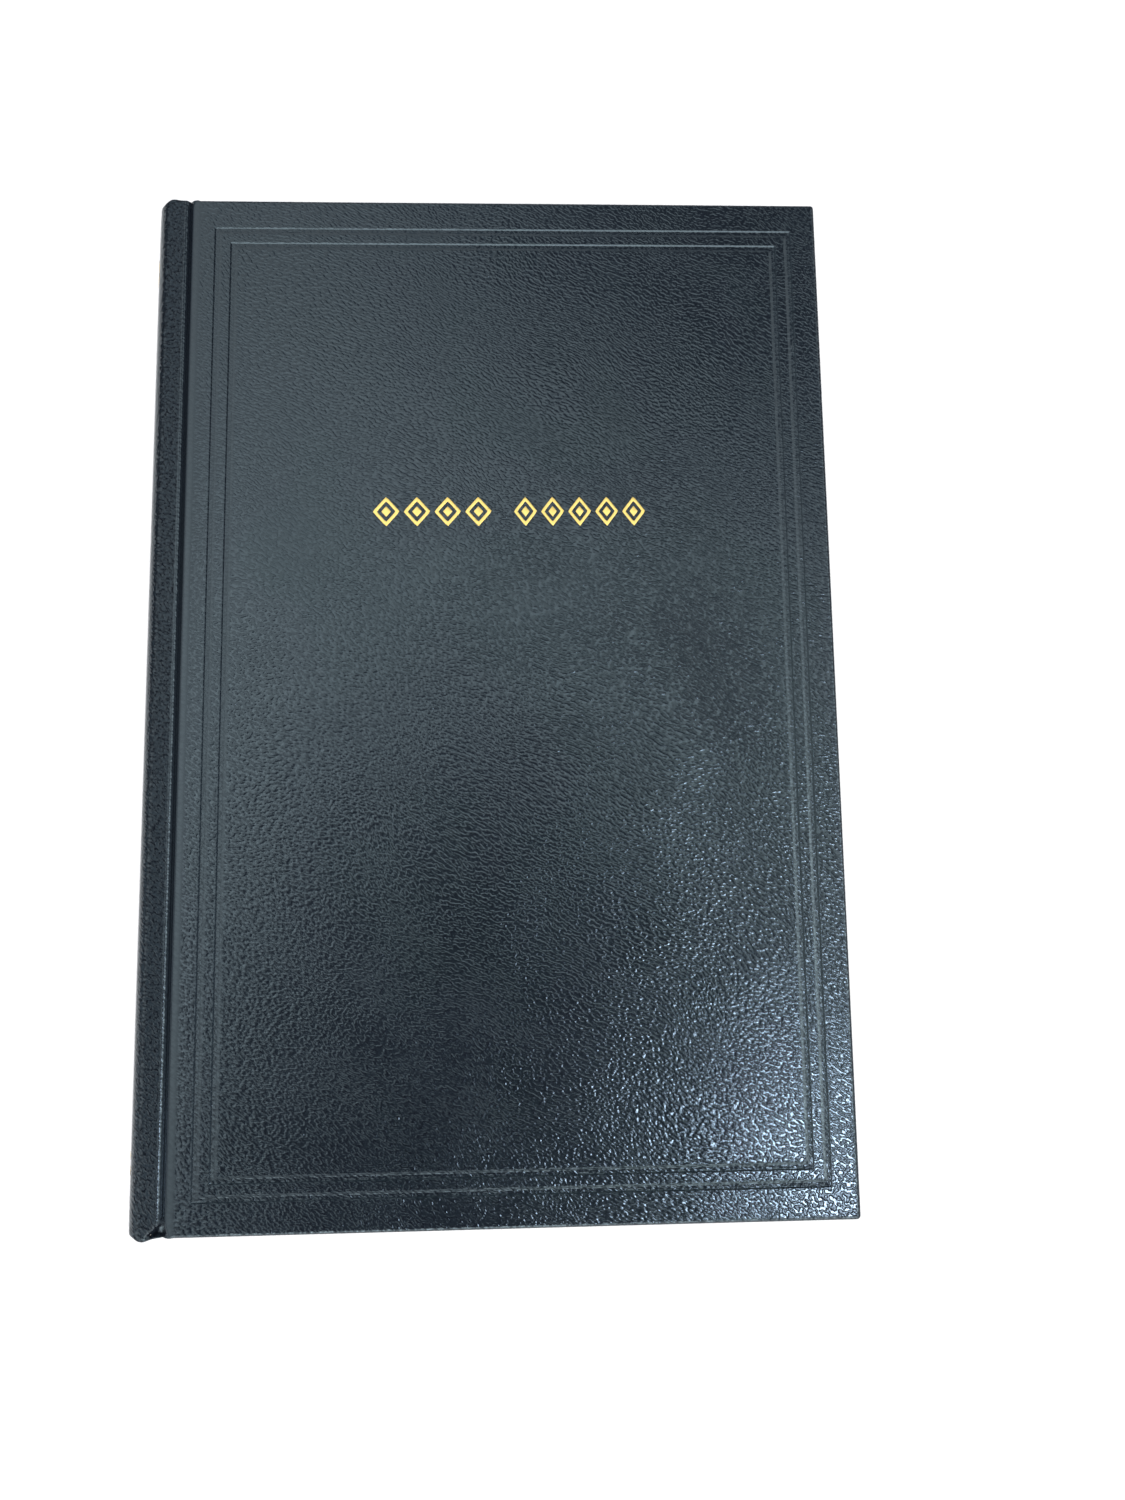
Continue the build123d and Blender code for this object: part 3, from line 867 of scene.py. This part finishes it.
def section_object(number):
    """One section: a stack of leaves with their cut edges standing slightly uneven."""
    node = f"section_{number:02d}"
    low, high = node_box(node)
    z_low, z_high = low[2], high[2]
    levels, offsets = uneven_edge(number, z_low, z_high)
    share, ring_y, on_fore = section_ring()
    rows, ring_count = len(levels), len(share)
    z = np.broadcast_to(levels[:, None], (rows, ring_count)).copy()
    half_t = (z_high - z_low) / 2
    mid = (z_high + z_low) / 2
    fold_centre = back_edge_x(mid, fold_radius - half_t)
    back = fold_centre - np.sqrt(np.maximum(half_t**2 - (levels - mid) ** 2, 0))
    fore = back_edge_x(levels) + leaf_width
    x = back[:, None] + (fore - back)[:, None] * share[None, :]
    y = np.broadcast_to(ring_y[None, :] * leaf_half, x.shape).copy()
    roughness = 0.03 * waves(x + 3 * y, z * 30, 18.0, number)
    push = offsets[:, None] + roughness
    x = x + np.where(on_fore, push, 0)
    y = y + np.where(on_fore, 0, ring_y * push)
    corner = np.abs(ring_y) > 0.999
    x = np.where(on_fore & corner, x - 0.06, x)
    along = np.where(on_fore, y, x + 200.0)
    z = z + leaf_wave(x + 0.8 * y, z)
    points = np.stack([x, y, z], -1).reshape(-1, 3)
    uv = np.stack([along, z], -1).reshape(-1, 2)
    cut = {"cut": np.ones(len(points))}
    obj = make_object(f"{node}_leaves", points, section_faces(rows, ring_count), uv, cut, sharp=50.0)
    dress(obj, page_paper, "bible_paper", node)
    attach(obj, "text_block")


def sheet(name, x_lines, y_lines, z_of, thick, uv_shift):
    """A thin closed sheet over a grid of lines, at the height that z_of gives."""
    x, y = np.meshgrid(x_lines, y_lines, indexing="ij")
    z = z_of(x, y)
    top = np.stack([x, y, z + thick / 2], -1).reshape(-1, 3)
    bottom = np.stack([x, y, z - thick / 2], -1).reshape(-1, 3)
    points = np.concatenate([top, bottom])
    flat_uv = np.stack([x, y], -1).reshape(-1, 2) + (uv_shift, 0)
    uv = np.concatenate([flat_uv, flat_uv])
    uncut = {"cut": np.zeros(len(points))}
    return make_object(name, points, shell_faces(*x.shape), uv, uncut, sharp=50.0)


def turning_leaf(node, number):
    """A leaf as a thin, slightly rippled sheet, with its grid lines close together near its fold."""
    low, high = node_box(node)
    z = (low[2] + high[2]) / 2
    near = np.linspace(low[0], low[0] + leaf_bend, 26)
    far = np.linspace(low[0] + leaf_bend, high[0], 24)[1:]
    x_lines = np.concatenate([near, far])
    y_lines = np.linspace(-leaf_half, leaf_half, 34)

    def height(x, y):
        free = smoothstep(low[0], low[0] + 20, x)
        return z + 0.018 * free * waves(x, y, 70.0, 40 + number)

    material, slot = (endpaper, "endpaper") if "flyleaf" in node else (leaf_paper, "bible_paper")
    obj = sheet(f"{node}_sheet", x_lines, y_lines, height, sheet_thickness, number * 31.0)
    dress(obj, material, slot, node)
    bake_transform(obj)


def pastedown(side):
    """The endpaper glued inside a cover, with the strip that crosses the joint to the text block."""
    low, high = node_box(f"{side}_pastedown")
    front = side == "front"
    joint = np.linspace(crown_x + joint_reach[0], low[0], 15)
    step_x = [fore_x - inset for inset in turn_in]
    extra = step_x + [low[0] + 24.6, low[0] + 25.2]
    x_lines = np.concatenate([joint, spaced_lines(low[0], high[0], extra, 4.0)[1:]])
    turn_y = half_height - turn_in[0]
    y_lines = spaced_lines(low[1], high[1], [-turn_y - 0.5, -turn_y, turn_y, turn_y + 0.5], 5.0)
    z_mid = pastedown_z + 0.075

    def height(x, y):
        slope = np.clip(low[0] - x, 0, None)
        past_step = np.maximum(smoothstep(turn_y, turn_y + 0.5, np.abs(y)), smoothstep(*step_x, x))
        lift = 0.10 * (1 - past_step) * smoothstep(low[0] + 0.2, low[0] + 2.0, x)
        z = z_mid + 0.62 * slope + lift
        return z if front else thickness - z

    obj = sheet(f"{side}_endpaper_sheet", x_lines, y_lines, height, pastedown_thickness, 150.0)
    dress(obj, endpaper, "endpaper", f"{side}_pastedown")
    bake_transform(obj)


# -------------------- headbands
headband_half_angle = 42  # degrees
headband_inset = 0.6  # of the cord's centre inside the folds' curve
headband_reach = 0.9  # of the cord's centre past the leaves
cord_radius = 0.80
winding_rise = 0.10
winding_pitch = 0.55


def headband(end):
    """A wound cord over the leaves' edge."""
    sign = 1 if end == "head" else -1
    arc = np.radians(np.linspace(180 - headband_half_angle, 180 + headband_half_angle, 260))
    radius = fold_radius - headband_inset
    round_angles = np.linspace(0, 2 * pi, 13)[:-1]
    along = (arc - arc[0]) * radius
    bead_y = leaf_half + headband_reach
    points, uv = [], []
    for position, angle in zip(along, arc):
        for turn in round_angles:
            lay = position + 0.12 * turn
            cord = cord_radius + winding_rise * abs(sin(pi * lay / winding_pitch))
            r = radius + cord * cos(turn)
            y = sign * (bead_y + cord * sin(turn))
            points.append((spine_x + r * cos(angle), y, middle_z + r * sin(angle)))
            uv.append((lay, turn))
    rows, columns = len(arc), len(round_angles)
    index = np.arange(rows * columns).reshape(rows, columns)
    closed = np.concatenate([index, index[:, :1]], axis=1)
    faces = []
    for row in range(rows - 1):
        faces.extend(strip_faces(closed[row], closed[row + 1], flip=sign > 0).tolist())
    faces.append(index[0].tolist()[::-1 if sign < 0 else 1])
    faces.append(index[-1].tolist()[::1 if sign < 0 else -1])
    obj = make_object(f"headband_{end}_cord", points, faces, uv, sharp=80.0)
    dress(obj, band_thread, "headband_cloth", f"headband_{end}")
    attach(obj, "text_block")


# -------------------- build
case_half("front")
case_half("back")
front_ornament()
spine_ornament()
for number in range(1, section_count + 1):
    section_object(number)
leaf_nodes = ["front_flyleaf", "back_flyleaf"]
leaf_nodes += [f"front_leaf_{n}" for n in range(1, 6)] + [f"back_leaf_{n}" for n in range(1, 4)]
for number, node in enumerate(leaf_nodes):
    turning_leaf(node, number)
pastedown("front")
pastedown("back")
headband("head")
headband("tail")

carried = (
    (grey_board, ("front_board", "back_board", "spine_inlay")),
    (gauze, ("front_mull_flange", "back_mull_flange", "spine_mull")),
    (kraft, ("spine_kraft_liner",)),
    (glue, ("spine_glue",)),
    (thread_cloth, ("sewing_thread",)),
    (fold_paper, ("front_outer_section", "back_outer_section")),
)
for material, nodes in carried:
    for node in nodes:
        paint(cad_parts[node], material)


# -------------------- stage
floor_half_size = 3000.0
floor_z = -0.05
floor_glow = 0.3
floor_cover = 0.35  # how much the floor hides from the camera


def floor():
    """A plain pale floor. From below it lets light and sight through, and from above the camera sees
    faintly through it, because the opened back cover hangs below its level."""
    lines = np.linspace(-floor_half_size, floor_half_size, 5)
    x, y = np.meshgrid(lines, lines, indexing="ij")
    points = np.stack([x, y, np.full(x.shape, floor_z)], -1).reshape(-1, 3)
    obj = make_object("floor", points, grid_faces(5, 5, flip=True))
    material, g, shader = new_material("pale_floor")
    shader.inputs["Base Color"].default_value = (0.78, 0.78, 0.78, 1)
    shader.inputs["Roughness"].default_value = 0.9
    shader.inputs["Specular IOR Level"].default_value = 0.1
    shader.inputs["Emission Color"].default_value = (1, 1, 1, 1)
    seen = g.add("ShaderNodeLightPath").outputs["Is Camera Ray"]
    g.plug(g.math("MULTIPLY", seen, floor_glow), shader.inputs["Emission Strength"])
    from_above = g.math("SUBTRACT", 1.0, g.add("ShaderNodeNewGeometry").outputs["Backfacing"])
    solid = g.math("MULTIPLY", from_above, g.map(seen, 0.0, 1.0, 1.0, floor_cover))
    clear = g.add("ShaderNodeBsdfTransparent").outputs[0]
    blended = g.add("ShaderNodeMixShader", {0: solid, 1: clear, 2: shader.outputs[0]}).outputs[0]
    g.plug(blended, material.node_tree.nodes["Material Output"].inputs["Surface"])
    paint(obj, material)


sky_patches = (  # slope east, slope north, their spreads, and how much brighter than the room
    (-0.045, -0.11, 0.15, 0.22, -5.6),
    (0.03, -0.52, 0.16, 0.18, -1.3),
    (0.23, 0.14, 0.18, 0.60, -2.6),
    (0.09, 0.10, 0.27, 0.27, 3.85),
    (0.16, 0.15, 0.13, 0.28, 0.9),
    (0.12, 0.64, 0.24, 0.16, -0.3),
    (0.28, 0.92, 0.25, 0.22, -1.0),
    (-0.30, 0.04, 0.05, 0.20, 1.4),
    (-0.83, 0.15, 0.15, 0.35, 1.3),
    (-1.62, 0.5, 0.33, 1.0, -0.72),
    (-1.62, -0.25, 0.33, 0.35, -0.6),
    (-1.62, 0.35, 0.30, 0.30, 0.4),
    (0.86, -0.25, 0.13, 0.35, 6.5),
    (0.30, -0.86, 0.22, 0.13, 5.0),
    (0.0, -1.52, 0.55, 0.22, 6.0),
)
room_level = 1.35
least_level = 0.1
diffuse_share = 0.68  # matt surfaces get this much of the light, so that open pages keep their tone
window = (0.268, -0.252, 0.039, 0.047, 58.0)
eye_place = (7.49, -41.28, face_z + 222.35)
target_place = (16.18, -13.61, face_z)
camera_roll = -0.9  # degrees
focal_length = 26.06  # of a 36 mm wide picture


def studio_light():
    """Soft light from a pale room, with dim places overhead and a window in the south-east."""
    world = bpy.data.worlds.new("studio")
    bpy.context.scene.world = world
    world.use_nodes = True
    tree = world.node_tree
    g = Graph(tree)
    background = tree.nodes["Background"]
    direction = g.add("ShaderNodeTexCoord").outputs["Generated"]
    axes = g.add("ShaderNodeSeparateXYZ", {0: direction}).outputs
    up = g.math("MAXIMUM", axes[2], 0.08)
    slope_x = g.math("DIVIDE", axes[0], up)
    slope_y = g.math("DIVIDE", axes[1], up)

    def patch(x, y, spread_x, spread_y, gain):
        dx = g.math("DIVIDE", g.math("SUBTRACT", slope_x, x), spread_x)
        dy = g.math("DIVIDE", g.math("SUBTRACT", slope_y, y), spread_y)
        square = g.math("ADD", g.math("MULTIPLY", dx, dx), g.math("MULTIPLY", dy, dy))
        return g.math("MULTIPLY", g.math("EXPONENT", g.math("MULTIPLY", square, -0.5)), gain)

    level = room_level
    for values in sky_patches:
        level = g.math("ADD", level, patch(*values))
    # Near the horizon it gets darker to the east, the north and the very low west.
    across = g.math("MINIMUM", g.math("MULTIPLY", axes[0], -0.3), g.math("MULTIPLY", axes[0], -1.0))
    sides = g.math("ADD", across, g.math("MULTIPLY", axes[1], -1.0))
    low = g.map(axes[2], 0.58, 0.36, smooth=True)
    lowest = g.map(axes[2], 0.36, 0.22, 0.0, 1.3, smooth=True)
    sides = g.math("ADD", sides, g.math("MULTIPLY", g.math("MINIMUM", axes[0], 0.0), lowest))
    level = g.math("MAXIMUM", g.math("ADD", level, g.math("MULTIPLY", sides, low)), least_level)
    daylight = patch(*window)
    path = g.add("ShaderNodeLightPath").outputs
    from_camera = path["Is Camera Ray"]
    colour = g.mix(g.map(level, 0.3, 1.2), (0.74, 0.94, 1.10, 1), (1, 1, 1, 1))
    colour = g.mix(g.math("DIVIDE", daylight, g.math("ADD", daylight, level)), colour, (0.90, 0.91, 1.04, 1))
    colour = g.mix(from_camera, colour, (1, 1, 1, 1))
    level = g.math("ADD", level, daylight)
    level = g.math("MULTIPLY", level, g.map(path["Is Diffuse Ray"], 0.0, 1.0, 1.0, diffuse_share))
    level = g.add("ShaderNodeMix", {"Factor": from_camera, 2: level, 3: 1.0}, data_type="FLOAT").outputs[0]
    g.plug(level, background.inputs["Strength"])
    g.plug(colour, background.inputs["Color"])


def camera():
    """The photograph's viewpoint: above the front cover, a little nearer the tail."""
    eye = Vector(eye_place) * MM
    target = Vector(target_place) * MM
    roll = radians(camera_roll)
    ahead = (target - eye).normalized()
    right = ahead.cross(Vector((0, 1, 0))).normalized()
    above = right.cross(ahead)
    right, above = right * cos(roll) + above * sin(roll), above * cos(roll) - right * sin(roll)
    data = bpy.data.cameras.new("camera")
    data.lens = focal_length
    data.sensor_width = 36.0
    data.clip_start = 0.005
    obj = bpy.data.objects.new("camera", data)
    axes = Matrix((right, above, -ahead)).transposed()
    obj.matrix_world = Matrix.Translation(eye) @ axes.to_4x4()
    bpy.context.scene.collection.objects.link(obj)
    bpy.context.scene.camera = obj


floor()
studio_light()
camera()
bpy.context.scene.view_settings.view_transform = "Standard"

bpy.context.view_layer.update()
